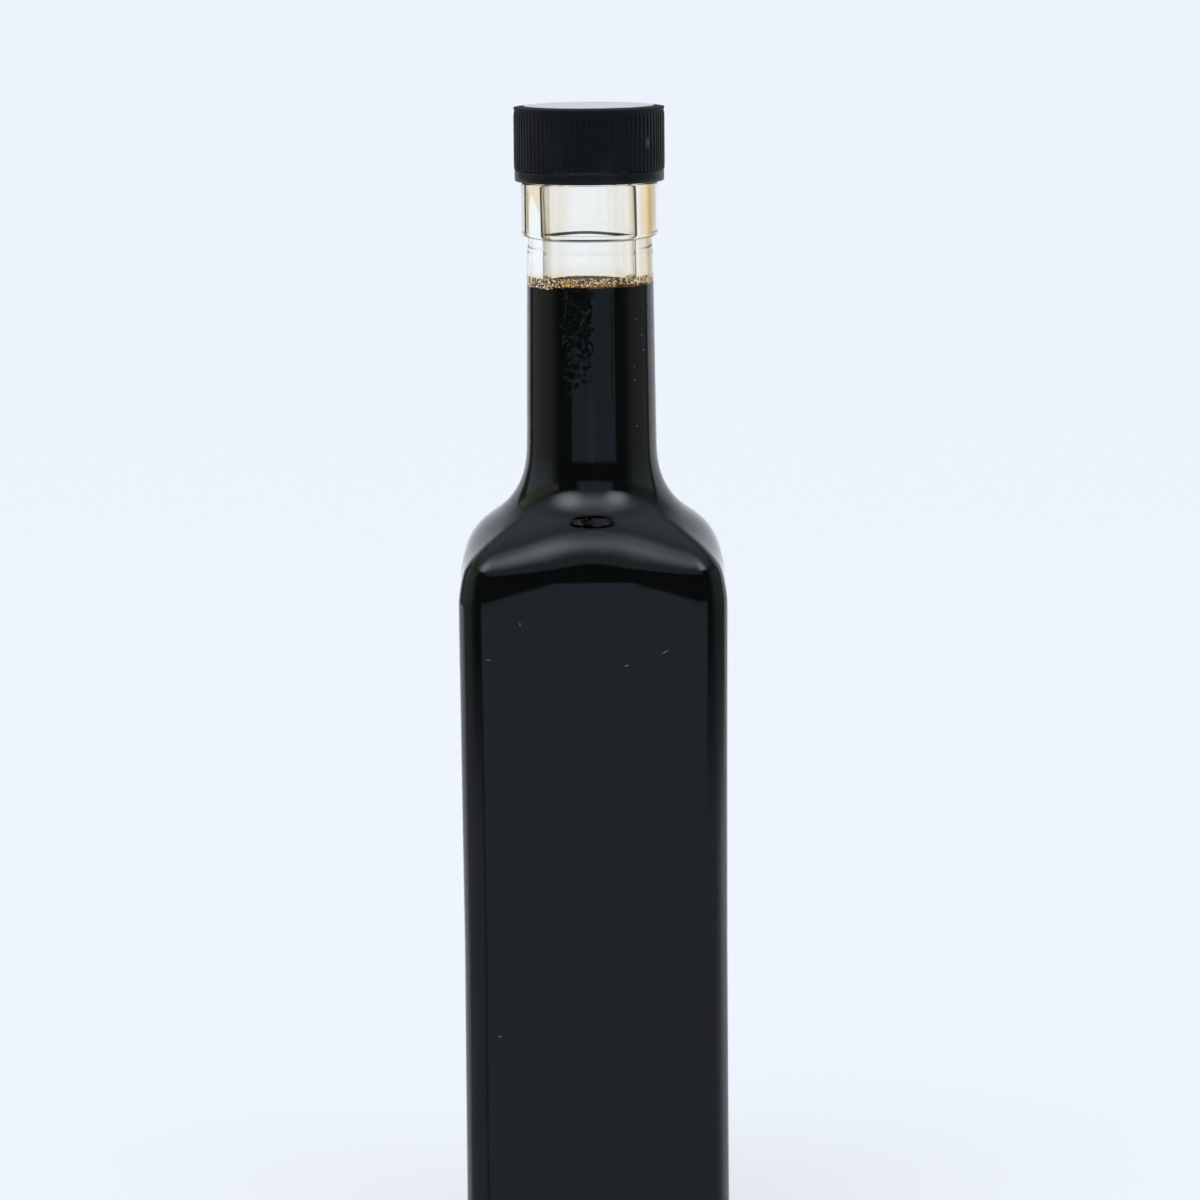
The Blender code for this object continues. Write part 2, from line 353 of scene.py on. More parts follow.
def principled(name, **values):
    """Start a material whose surface is one Principled shader with constant values."""
    look = bpy.data.materials.new(name)
    tree = Tree(look)
    spaced = {key.replace("_", " ").title().replace("Ior", "IOR"): value for key, value in values.items()}
    shader = tree.node('ShaderNodeBsdfPrincipled', None, spaced)
    tree.end(shader)
    return look, tree, shader.socket.node


# ---- shapes of the glass


def bezier(start, start_pull, end_pull, end, steps):
    """Points (height, half width) along a cubic curve, both ends included."""
    t = np.linspace(0.0, 1.0, steps + 1)[:, None]
    knots = [np.array(tuple(knot)) for knot in (start, start_pull, end_pull, end)]
    curve = (1 - t) ** 3 * knots[0] + 3 * t * (1 - t) ** 2 * knots[1]
    curve = curve + 3 * t * t * (1 - t) * knots[2] + t ** 3 * knots[3]
    return [tuple(point) for point in curve]


def arc(centre, radius, start, end, steps):
    """Points (height, half width) on an arc, its angle in degrees from the height axis."""
    angles = np.radians(np.linspace(start, end, steps + 1))
    return [(centre[0] + radius * math.cos(a), centre[1] + radius * math.sin(a)) for a in angles]


def refined(outline, gap):
    """An outline with points added wherever two lie further apart than the gap."""
    fine = [outline[0]]
    for near, far in zip(outline, outline[1:]):
        near, far = np.array(near), np.array(far)
        pieces = max(1, math.ceil(np.linalg.norm(far - near) / gap))
        fine += [tuple(near + (far - near) * step / pieces) for step in range(1, pieces + 1)]
    return fine


def shoulder():
    """The curve of the outer face from the square body up into the neck.

    Its two halves meet at the turn, where it runs up and inwards. The lengths are the pulls of their ends.
    """
    run = Vector((0.545, -0.8387))
    turn = Vector((SHOULDER_TURN, TURN_HALF))
    body = (BODY_TOP, BODY_TOP_HALF)
    body_pull = (BODY_TOP + 10 * MM, BODY_TOP_HALF)
    neck = (NECK_FOOT, NECK_FOOT_RADIUS)
    neck_pull = (NECK_FOOT - 4.1 * MM, NECK_FOOT_RADIUS + 0.19 * MM)
    upper = bezier(body, body_pull, turn - run * 9.7 * MM, turn, 40)
    lower = bezier(turn, turn + run * 10.2 * MM, neck_pull, neck, 32)
    return upper + lower[1:]


def outside():
    """Outer face of the glass from the rim of the push-up to the lip."""
    heel = arc((HEEL_RADIUS, BASE_HALF - HEEL_RADIUS), HEEL_RADIUS, 180, 90, 8)
    belly = [(BODY_TOP / 2, BODY_HALF)]
    neck = [(NECK_TOP - 8 * MM, NECK_TOP_RADIUS + 0.3 * MM)]
    line = NECK_TOP_RADIUS + 0.16 * MM
    ridge = [(PARTING_LINE + rise * MM, line + out * MM) for rise, out in
             ((-0.3, 0.0), (-0.12, 0.05), (0.05, 0.065), (0.2, -0.015))]
    fillet = [(COLLAR_FOOT - rise * MM, NECK_TOP_RADIUS) for rise in (0.9, 0.4, 0.24)]
    fillet += arc((COLLAR_FOOT - FILLET_RADIUS, NECK_TOP_RADIUS + FILLET_RADIUS), FILLET_RADIUS, -90, 0, 5)
    bead = arc((COLLAR_FOOT + BEAD_RADIUS, COLLAR_RADIUS - BEAD_RADIUS), BEAD_RADIUS, 180, 90, 12)
    collar = arc((COLLAR_TOP - COLLAR_EDGE, COLLAR_RADIUS - COLLAR_EDGE), COLLAR_EDGE, 90, 0, 4)
    finish = [(COLLAR_TOP, FINISH_RADIUS)]
    lip = arc((LIP - LIP_EDGE, FINISH_RADIUS - LIP_EDGE), LIP_EDGE, 90, 0, 5)
    return refined(heel + belly + shoulder() + neck + ridge + fillet + bead + collar + finish + lip, RING_GAP)


def inside(wall):
    """Inner face of the glass from its floor to the lip."""
    half = BODY_HALF - wall
    cove = arc((INNER_FLOOR + HEEL_RADIUS, half - HEEL_RADIUS), HEEL_RADIUS, 180, 90, 8)
    neck_wall = NECK_FOOT_RADIUS - BORE_RADIUS - 0.4 * MM
    walls = []
    for height, width in shoulder():
        share = (height - BODY_TOP) / (NECK_FOOT - BODY_TOP)
        walls.append((height, width - wall - (neck_wall - wall) * share))
    lip = arc((LIP - LIP_EDGE, BORE_RADIUS + LIP_EDGE), LIP_EDGE, -90, 0, 5)
    return refined(cove + walls + lip, RING_GAP)


def width_at(height, outline):
    """Half width of an outline at a height."""
    return float(np.interp(height, *zip(*outline)))


def ramp(value, span):
    """A straight rise from 0 to 1 over a span, level outside it."""
    return min(max(value / span, 0.0), 1.0)


def eased(value, low, high):
    """A smooth step from 0 at low to 1 at high."""
    t = np.clip((value - low) / (high - low), 0.0, 1.0)
    return t * t * (3.0 - 2.0 * t)


def squareness(height):
    """1 where the bottle is square in plan, falling to 0 in its round neck, gently at first."""
    gentle = ramp(height - SQUARE_TOP, 15.5 * MM)
    return 1.0 - 0.24 * gentle - 0.76 * eased(height, SQUARE_TOP + 6 * MM, ROUND_FOOT)


def section(height, half, corner):
    """Plan outline at a height: a rounded square blended with a circle.

    The middle of each face stays flat for a little longer than its corners do.
    """
    corner = min(corner * (1.0 - 0.55 * eased(height, SQUARE_TOP, SHOULDER_TURN)), half * 0.9)
    flat = half - corner
    along = np.linspace(-flat, flat, ALONG_FACE + 1)[:-1]
    turn = np.radians(np.linspace(0, 90, AROUND_CORNER + 1)[:-1])
    side = np.column_stack([along, np.full(ALONG_FACE, -half)])
    bend = np.column_stack([flat + corner * np.sin(turn), -flat - corner * np.cos(turn)])
    quarter = np.concatenate([side, bend])
    square = [quarter]
    for _ in range(3):
        quarter = np.column_stack([-quarter[:, 1], quarter[:, 0]])
        square.append(quarter)
    square = np.concatenate(square)
    circle = square * (half / np.hypot(square[:, 0], square[:, 1]))[:, None]
    middle = 1.0 - eased(np.abs(square).min(1), 8 * MM, 14 * MM)
    calm = middle * (1.0 - eased(height, SQUARE_TOP + 5 * MM, SQUARE_TOP + 11 * MM))
    share = squareness(height) * (1.0 - calm) + calm
    plan = square * share[:, None] + circle * (1 - share)[:, None]
    return np.column_stack([plan, np.full(len(plan), height)])


def wavered(ring, amount, span, chance):
    """A ring whose points move in or out by smooth noise, stretched along the height."""
    moved = ring.copy()
    for point in moved:
        spot = Vector((point[0], point[1], point[2] * 0.3 + chance)) * (1 / span)
        out = amount * noise.noise(spot)
        reach = math.hypot(point[0], point[1])
        point[:2] *= (reach + out) / reach
    return moved


def bore_ring(height, half, settings, extra=0.0):
    """One ring of the inner face, with its unevenness, moved outwards by extra."""
    corner = settings.corner - settings.wall
    ring = section(height, half + extra, corner)
    calm = ramp(LIP - height, 10 * MM)
    ring[:, 0] -= BORE_LEAN * calm * eased(height, ROUND_FOOT, COLLAR_FOOT)
    return wavered(ring, settings.unevenness * calm, BORE_WAVE_LENGTH, BORE_CHANCE)


def quads(count, total, closed=False):
    """Faces between neighbouring rings, and from the last ring back to the first where closed."""
    faces = []
    for level in range(total if closed else total - 1):
        low, high = level * count, (level + 1) % total * count
        for index in range(count):
            after = (index + 1) % count
            faces.append((low + index, low + after, high + after, high + index))
    return faces


def skinned(name, rings, closed=False):
    """A mesh of quads through rings of equal count."""
    mesh = bpy.data.meshes.new(name)
    mesh.from_pydata(np.concatenate(rings).tolist(), [], quads(len(rings[0]), len(rings), closed))
    return mesh


def loft(name, rings):
    """Skin a closed surface through rings of equal count, with a fan over each end."""
    count = len(rings[0])
    first, last = np.mean(rings[0], 0), np.mean(rings[-1], 0)
    points = np.concatenate([*rings, [first], [last]])
    faces = quads(count, len(rings))
    foot, top = len(points) - 2, len(points) - 1
    end = foot - count
    for index in range(count):
        after = (index + 1) % count
        faces.append((after, index, foot))
        faces.append((end + index, end + after, top))
    mesh = bpy.data.meshes.new(name)
    mesh.from_pydata(points.tolist(), [], faces)
    mesh.shade_smooth()
    return mesh


def mesh_of(name, form):
    """Turn a bmesh form into a mesh."""
    mesh = bpy.data.meshes.new(name)
    form.to_mesh(mesh)
    form.free()
    return mesh


def added(name, data, look=None):
    """Put a mesh, light or camera in the scene."""
    made = bpy.data.objects.new(name, data)
    bpy.context.scene.collection.objects.link(made)
    if look:
        data.materials.clear()
        data.materials.append(look)
    return made


def settle(piece, slot, *nodes):
    """Attach a finished piece to its body and hide the solids that it stands for. The slot is not used."""
    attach(piece, BODY)
    if nodes:
        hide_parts(*nodes)


# ---- finishes


def shaded(paint, *factors):
    """A colour multiplied by one factor, or by one for each channel."""
    return tuple(channel * factor for channel, factor in zip(paint, factors if factors[1:] else factors * 3))


def glass_look(settings):
    """Clear glass with faint moulded waves, two long creases, a wrinkled patch on the neck and a painted
    shade line under the collar at the front.
    """
    look, tree, shader = principled("clear_glass", base_color=colour(settings.tint), roughness=0.0, ior=1.52,
                                    transmission_weight=1.0)
    across, depth, height = tree.split()
    front = tree.fall(depth / MM, -12.0, -8.0)
    across, level = across / MM, height / MM
    waves = tree.noise(60.0, 1.0, upright=0.35)
    left = tree.window(across + 17.7 - (level - 118.0) * 0.026, -0.35, 0.35, 0.3)
    left = left * tree.window(level, 92.0, 140.0, 9.0)
    right = tree.window(across - 20.7 + (level - 104.0) * 0.033, -0.3, 0.3, 0.3)
    right = right * tree.window(level, 72.0, 132.0, 9.0)
    # The wrinkled patch: steps that rise slowly and drop at once, bent by noise and broken into short pieces.
    fine = tree.noise(500.0, 2.0, upright=0.7, distortion=1.0) - 0.5
    coarse = tree.noise(800.0, 2.0, distortion=0.6) + tree.step(level, 197.0, 222.0, -0.2, 0.15)
    teeth = ((level + fine * 3.0) / 1.4).math('FRACT') * tree.step(coarse, 0.42, 0.5)
    teeth = teeth * tree.step(level, 199.0, 216.0, 0.35, 1.0)
    patch = tree.window(across + fine * 5.0, -5.6, 0.1, 0.5) * tree.window(level, 200.0, 228.0, 0.8)
    # One level line under the patch and two upright ones to its right.
    uprights = tree.window(across, 0.1, 0.25, 0.15) + tree.window(across, 4.6, 4.8, 0.15)
    lines = tree.window(level, 198.85, 199.0, 0.1) * tree.window(across, -3.4, 4.2, 0.3)
    lines = lines + uprights * tree.window(level, 201.0, 225.0, 1.5) * 0.7
    marks = (left + right) * 0.5 + lines * 1.2 - teeth * patch * 2.3
    # A dark line under the collar, on the front only: painted shade where the collar meets the neck.
    painted_collar_shade = tree.window(level, 237.8, 238.28, 0.1) * tree.step(depth / MM, -12.0, -8.0, 0.9, 0.0)
    tree.fill(shader, {"Base Color": tree.mix(painted_collar_shade, settings.tint, (0.03, 0.035, 0.04)),
                       "Normal": tree.bump(waves + marks * front, 0.25 * MM)})
    return look


def seed_look():
    """Small air seeds, pale grey, with a faint painted glow in place of the light that they catch."""
    return principled("air_seeds", roughness=0.4, specular_ior_level=0.1, emission_strength=0.02,
                      emission_color=(1.0, 1.0, 1.0, 1.0), base_color=(0.3, 0.3, 0.3, 1.0))[0]


def residue_look(settings):
    """Amber film: a tint with no bending of the light, in streaks that run down the bore, and a painted shade
    line at its left edge.

    Its bounds are degrees round the bore from the front, and heights in millimetres.
    """
    look, tree, shader = principled("amber_residue", roughness=0.0, ior=1.0, transmission_weight=1.0)
    across, depth, height = tree.split()
    around, level = tree.azimuth(across, depth), height / MM
    patches = tree.noise(170.0, 3.0, upright=0.35, distortion=0.6)
    uneven = tree.step(patches, 0.3, 0.7, 0.75, 1.0)
    collar = tree.step(level, 236.0, 240.0, 0.25, 1.0)
    # A streak down the right side, a thin film at the left, a foot at the froth and a veil over the rest.
    right = tree.step(around, 60.0, 68.0, 0.0, 0.12) + tree.step(around, 69.0, 84.0, 0.0, 0.4)
    right = right * tree.step(around, 88.0, 90.5, 1.0, 0.2) * tree.fall(around, 99.0, 103.0) * collar
    left = tree.window(around, -89.0, -60.0, 2.0) * tree.step(level, 237.5, 240.0, 0.0, 0.2)
    foot = tree.step(level, 228.5, 230.5, 0.25, 0.0)
    lower_left = tree.fall(around, -62.0, -54.0) - tree.step(level, 236.0, 239.0)
    veil = tree.step(across.math('ABSOLUTE') / MM, 3.0, 7.5, 0.1, 0.22)
    veil = veil * tree.step(lower_left, 0.0, 1.0, 1.0, 0.2)
    strength = ((veil + foot + right + left) * uneven).math('MINIMUM', 1.0)
    # A clean patch at the left, widest 240 mm up and narrower above and below.
    taper = (level - 240.0) / 8.5
    taper = taper * taper
    clean = tree.fall(around + taper * 17.0 + patches * 6.0, -57.0, -55.0)
    clean = clean * tree.step(around - taper * 6.0, -84.0, -82.0)
    clean = clean * tree.fall(around, -51.0, -49.0) * tree.fall(level, 247.6, 248.6)
    # Greyer borders of the film: a strip and a fringe at the left, and the right streak's edge.
    strip = tree.window(around, -59.0, -45.5, 1.5) * tree.step(level, 236.0, 240.0, 0.45, 1.0)
    fringe = tree.window(around, -88.0, -83.0, 0.8) * tree.window(level, 239.5, 249.0, 1.0)
    edge = tree.step(around, 62.0, 68.0, 0.0, 0.15) + tree.step(around, 79.0, 86.0, 0.0, 0.75)
    edge = edge * tree.step(around, 93.0, 96.0, 1.0, 0.6) * tree.fall(around, 104.0, 108.0)
    greyed_border = strip + fringe * 0.9 + edge
    tone = tree.mix(greyed_border * uneven, (1.0, 1.0, 1.0), (0.58, 0.54, 0.43))
    tone = tree.mix(strength * (1.0 - clean * 0.95), tone, settings.residue)
    # A dark grey line down the left edge of the bore is painted shade.
    rim = tree.window(around, -95.0, -90.2, 0.8) * tree.window(level, 238.5, 252.0, 0.5)
    tree.fill(shader, {"Base Color": tree.mix(rim, tone, (0.13, 0.14, 0.15))})
    return look


def molasses_look(settings):
    """Near-black syrup that hardly reflects, because it wets the glass."""
    look, tree, shader = principled("dark_molasses", roughness=0.5, specular_ior_level=0.0)
    clots = tree.noise(140.0, 3.0, upright=0.5)
    warm = shaded(settings.molasses, 3.2, 1.9, 1.3)
    tree.fill(shader, {"Base Color": tree.mix(tree.step(clots, 0.45, 0.75), settings.molasses, warm)})
    return look


def froth_look(settings):
    """Golden bubbles in random cells of dark brown, gold and pale gold, with painted glints and a painted
    glow.
    """
    # The emission is a painted glow, in place of the light that shines through the bubbles.
    look, tree, shader = principled("golden_froth", roughness=0.15, specular_ior_level=0.7,
                                    emission_strength=0.35)
    cells = tree.node('ShaderNodeTexVoronoi', None, {"Vector": tree.place(), "Scale": 3200.0}, "Color")
    chance = tree.node('ShaderNodeSeparateColor', None, {0: cells})
    side = tree.step(tree.split()[0].math('ABSOLUTE') / MM, 5.5, 10.0)
    dark = shaded(settings.froth, 0.07, 0.045, 0.02)
    tone = tree.mix(tree.step(chance, 0.40, 0.66), dark, settings.froth)
    # Pale cells are painted glints, more of them towards the sides: painted highlights at the ends of the
    # froth.
    tone = tree.mix(tree.step(chance + side * 0.2, 0.86, 0.94), tone, (1.0, 0.90, 0.70))
    tree.fill(shader, {"Base Color": tone, "Emission Color": tone})
    return look


def skin_look(settings):
    """The brown skin under the bubbles, in random patches, with a faint painted glow."""
    look, tree, shader = principled("brown_skin", roughness=0.5, specular_ior_level=0.05,
                                    emission_strength=0.1)
    patches = tree.noise(900.0, 3.0)
    deep, light = shaded(settings.froth, 0.10, 0.07, 0.04), shaded(settings.froth, 0.36, 0.28, 0.2)
    tone = tree.mix(tree.step(patches, 0.4, 0.7), deep, light)
    tree.fill(shader, {"Base Color": tone, "Emission Color": tone})
    return look


def cap_look(settings):
    """Black moulded plastic with a satin grain, handling marks, one scuff and a painted highlight in the
    front of the slit, and a glossy disc on top.
    """
    look, tree, shader = principled("black_plastic", specular_ior_level=0.28)
    across, depth, height = tree.split()
    around, level = tree.azimuth(across, depth), height / MM
    grain = tree.noise(2600.0, 2.0)
    smears = tree.noise(130.0, 3.0, upright=0.4)
    scuff = tree.window(around, 49.0, 52.5, 1.0) * tree.window(level, 259.4, 261.4, 0.8)
    scuff = scuff * tree.step(grain, 0.3, 0.6)
    worn = tuple(channel * 4 + 0.02 for channel in settings.plastic)
    tone = tree.mix(tree.step(smears, 0.45, 0.8, 0.0, 0.25), settings.plastic, worn)
    tone = tree.mix(scuff * 0.8, tone, (0.09, 0.1, 0.11))
    tone = tree.mix(tree.step(level, 253.6, 253.7, 0.12, 0.0), tone, worn)
    # Lighter dashes in the slit at the front: a painted highlight on the bridges.
    painted_bridge_highlight = tree.window(around, -32.0, 15.0, 3.0) * tree.window(level, 253.65, 253.95, 0.05)
    tone = tree.mix(painted_bridge_highlight, tone, (0.035, 0.038, 0.042))
    disc = tree.fall((across ** 2 + depth ** 2) ** 0.5 / MM, 15.0, 15.3) * tree.step(level, 268.3, 268.4)
    rough = 0.30 + smears * 0.14 + scuff * 0.2 + tree.step(level, 266.3, 267.3, 0.0, 0.3)
    tree.fill(shader, {"Base Color": tone, "Roughness": rough * (1.0 - disc) + disc * 0.06,
                       "Normal": tree.bump(grain * (1.0 - disc), 0.02 * MM)})
    return look


# ---- geometry nodes


class GeometryTree(Tree):
    """A Geometry Nodes tree with named inputs."""

    def __init__(self, name, inputs):
        self.tree = bpy.data.node_groups.new(name, 'GeometryNodeTree')
        sockets = self.tree.interface
        sockets.new_socket("Geometry", in_out='INPUT', socket_type='NodeSocketGeometry')
        self.ids = {}
        for label, (kind, default) in inputs.items():
            made = sockets.new_socket(label, in_out='INPUT', socket_type=kind)
            made.default_value = default
            self.ids[label] = made.identifier
        sockets.new_socket("Geometry", in_out='OUTPUT', socket_type='NodeSocketGeometry')
        self.input = self.tree.nodes.new('NodeGroupInput')

    def __getitem__(self, label):
        return Term(self, self.input.outputs[label])

    def circle(self):
        """Points round a ring of the tree's Count and Ring, and their rotation."""
        curve = self.node('GeometryNodeCurvePrimitiveCircle', None, {
            "Resolution": self["Count"], "Radius": self["Ring"]})
        points = self.node('GeometryNodeCurveToPoints', {"mode": 'EVALUATED'}, {0: curve})
        return points, self.also(points, "Rotation")

    def finish(self, geometry, look):
        """Realize the instances, set the material and end the tree."""
        real = self.node('GeometryNodeRealizeInstances', None, {0: geometry})
        painted = self.node('GeometryNodeSetMaterial', None, {0: real, "Material": look})
        self.end(painted, 'NodeGroupOutput')

    def grown_on(self, piece, values):
        """Run the tree on a piece and return the result as a plain mesh."""
        modifier = piece.modifiers.new(self.tree.name, 'NODES')
        modifier.node_group = self.tree
        for label, value in values.items():
            modifier[self.ids[label]] = value
        piece.update_tag()
        bpy.context.view_layer.update()
        evaluated = piece.evaluated_get(bpy.context.evaluated_depsgraph_get())
        mesh = bpy.data.meshes.new_from_object(evaluated)
        piece.modifiers.remove(modifier)
        return mesh


def bubble_tree(look):
    """Bubbles of uneven size scattered over a surface."""
    tree = GeometryTree("bubbles", {
        "Density": ('NodeSocketFloat', 1e6),
        "Radius": ('NodeSocketFloat', 0.25 * MM),
        "Seed": ('NodeSocketInt', 1),
    })
    scatter = tree.node('GeometryNodeDistributePointsOnFaces', {"distribute_method": 'RANDOM'}, {
        "Mesh": tree["Geometry"], "Density": tree["Density"], "Seed": tree["Seed"]})
    chance = tree.node('FunctionNodeRandomValue', {"data_type": 'FLOAT'}, {
        2: 0.0, 3: 1.0, "Seed": tree["Seed"]}, 1)
    scale = (chance ** 3.0).math('MULTIPLY_ADD', 1.5, 0.55) * tree["Radius"]
    ball = tree.node('GeometryNodeMeshIcoSphere', None, {"Radius": 1.0, "Subdivisions": 2})
    round_ball = tree.node('GeometryNodeSetShadeSmooth', None, {0: ball})
    spread = tree.node('GeometryNodeInstanceOnPoints', None, {
        "Points": scatter, "Instance": round_ball, "Scale": scale})
    tree.finish(spread, look)
    return tree


def rib_tree(look):
    """Upright round ribs set in a ring, each sunk into the skirt."""
    tree = GeometryTree("ribs", {
        "Count": ('NodeSocketInt', 84),
        "Ring": ('NodeSocketFloat', 17.0 * MM),
        "Width": ('NodeSocketFloat', 0.8 * MM),
        "Foot": ('NodeSocketFloat', 0.25),
        "Top": ('NodeSocketFloat', 0.26),
    })
    foot = tree.node('ShaderNodeCombineXYZ', None, {2: tree["Foot"]})
    top = tree.node('ShaderNodeCombineXYZ', None, {2: tree["Top"]})
    line = tree.node('GeometryNodeCurvePrimitiveLine', None, {"Start": foot, "End": top})
    line = tree.node('GeometryNodeResampleCurve', None, {0: line, "Count": 9})
    along = tree.node('GeometryNodeSplineParameter')
    swell = tree.node('ShaderNodeFloatCurve', None, {1: along})
    mapping = swell.socket.node.mapping
    points = mapping.curves[0].points
    # A rib is full along its middle, a little thinner at its foot and rounded off at its top.
    points[0].location, points[1].location = (0.0, 0.93), (1.0, 0.6)
    for spot in ((0.02, 1.0), (0.12, 1.0), (0.93, 1.0), (0.97, 0.9)):
        points.new(*spot)
    mapping.update()
    ring = tree.node('GeometryNodeCurvePrimitiveCircle', None, {
        "Resolution": 14, "Radius": tree["Width"] * 0.5})
    rod = tree.node('GeometryNodeCurveToMesh', None, {
        "Curve": line, "Profile Curve": ring, "Scale": swell, "Fill Caps": True})
    rod = tree.node('GeometryNodeSetShadeSmooth', None, {0: rod})
    spread = tree.node('GeometryNodeInstanceOnPoints', None, {"Points": tree.circle()[0], "Instance": rod})
    joined = tree.node('GeometryNodeJoinGeometry', None, {0: [tree["Geometry"], spread]})
    tree.finish(joined, look)
    return tree


def bridge_tree(look):
    """Small upright bridges set in a ring."""
    tree = GeometryTree("bridges", {
        "Count": ('NodeSocketInt', 120),
        "Ring": ('NodeSocketFloat', 17.0 * MM),
        "Height": ('NodeSocketFloat', 0.25),
        "Size": ('NodeSocketVector', (0.5 * MM, 0.4 * MM, 0.5 * MM)),
    })
    block = tree.node('GeometryNodeMeshCube', None, {"Size": tree["Size"]})
    points, turn = tree.circle()
    lift = tree.node('ShaderNodeCombineXYZ', None, {2: tree["Height"]})
    points = tree.node('GeometryNodeSetPosition', None, {0: points, "Offset": lift})
    spread = tree.node('GeometryNodeInstanceOnPoints', None, {
        "Points": points, "Instance": block, "Rotation": turn})
    joined = tree.node('GeometryNodeJoinGeometry', None, {0: [tree["Geometry"], spread]})
    tree.finish(joined, look)
    return tree


# ---- operators


class BOTTLE_OT_glass(bpy.types.Operator):
    """Make the glass bottle, hollow, with its foot, shoulder, neck, collar and mouth"""

    bl_idname = "bottle.glass"
    bl_label = "Glass"

    def execute(self, context):
        settings = context.scene.bottle_glass
        rim = BASE_HALF - HEEL_RADIUS - FOOT_WIDTH
        tight = settings.corner - HEEL_RADIUS
        shares = np.linspace(0.05, 1.0, 14)
        dome = [section(PUSH_UP * (1 - s ** 3), rim * s, tight) for s in shares]
        outer = []
        for height, half in outside():
            calm = ramp(COLLAR_FOOT - height, 30 * MM) * ramp(height, 20 * MM)
            ring = section(height, half, settings.corner)
            ring = wavered(ring, FACE_WAVES * calm, FACE_WAVE_LENGTH, FACE_CHANCE)
            ring[:, :2] = ring[:, :2].clip(-BOTTLE_HIGH.x, BOTTLE_HIGH.x)
            outer.append(ring)
        inner = [bore_ring(height, half, settings) for height, half in reversed(inside(settings.wall))]
        floor_half = BODY_HALF - settings.wall - HEEL_RADIUS
        floor = [bore_ring(INNER_FLOOR, floor_half * s, settings) for s in (0.75, 0.5, 0.25, 0.05)]
        mesh = loft("glass_bottle", dome + outer + inner + floor)
        settle(added("glass_bottle", mesh, glass_look(settings)), "clear_glass", "bottle")
        settle(self.seeds(), "clear_glass")
        return {'FINISHED'}

    @staticmethod
    def seeds():
        """Small long seeds just under the outside of the glass."""
        form = bmesh.new()
        for x, z, long, lean in SEEDS:
            on_neck = z * MM > NECK_FOOT
            y = -math.sqrt(SEED_NECK_RADIUS ** 2 - x * x) if on_neck else SEED_FACE
            place = Matrix.Translation((x * MM, y * MM, z * MM))
            turn = Matrix.Rotation(math.radians(lean), 4, 'Y')
            size = Matrix.Diagonal((long, SEED_DEPTH, SEED_WIDTH, 1.0))
            bmesh.ops.create_icosphere(form, subdivisions=2, radius=0.5 * MM, matrix=place @ turn @ size)
        mesh = mesh_of("air_seeds", form)
        mesh.shade_smooth()
        return added("air_seeds", mesh, seed_look())


class BOTTLE_OT_residue(bpy.types.Operator):
    """Make the amber film that the molasses left on the bore above its level"""

    bl_idname = "bottle.residue"
    bl_label = "Residue"

    def execute(self, context):
        settings = context.scene.bottle_glass
        heights = np.linspace(FILL_LEVEL + 1.2 * MM, LIP - 3 * MM, 60)
        outline = inside(settings.wall)
        near, far = ([bore_ring(height, width_at(height, outline), settings, extra) for height in heights]
                     for extra in (0.06 * MM, 0.14 * MM))
        mesh = skinned("residue", near[::-1] + far, closed=True)
        mesh.shade_smooth()
        settle(added("residue", mesh, residue_look(context.scene.bottle_contents)), "molasses")
        return {'FINISHED'}


class BOTTLE_OT_molasses(bpy.types.Operator):
    """Make the molasses up to its level, wetting the glass"""

    bl_idname = "bottle.molasses"
    bl_label = "Molasses"

    def execute(self, context):
        settings = context.scene.bottle_glass
        half = BODY_HALF - settings.wall - HEEL_RADIUS
        rings = [bore_ring(INNER_FLOOR - WETTING, half * s, settings) for s in (0.05, 0.35, 0.7)]
        outline = inside(settings.wall)
        for height, width in outline:
            if height < FILL_LEVEL - RING_GAP:
                low = height - WETTING if height < INNER_FLOOR + 0.1 * MM else height
                rings.append(bore_ring(low, width, settings, WETTING))
        top = FILL_LEVEL + SKIN_LIFT
        top_half = width_at(top, outline)
        for rise, away in ((-1.0, 0.0), (0.0, 0.0), (0.25, 0.0), (0.12, 0.3), (0.03, 0.8), (0.0, 1.6)):
            rings.append(bore_ring(top + rise * MM, top_half - away * MM, settings, WETTING))
        rings += [bore_ring(top, top_half * share, settings) for share in (0.5, 0.05)]
        look = molasses_look(context.scene.bottle_contents)
        settle(added("molasses_fill", loft("molasses_fill", rings), look), "molasses", "molasses")
        return {'FINISHED'}


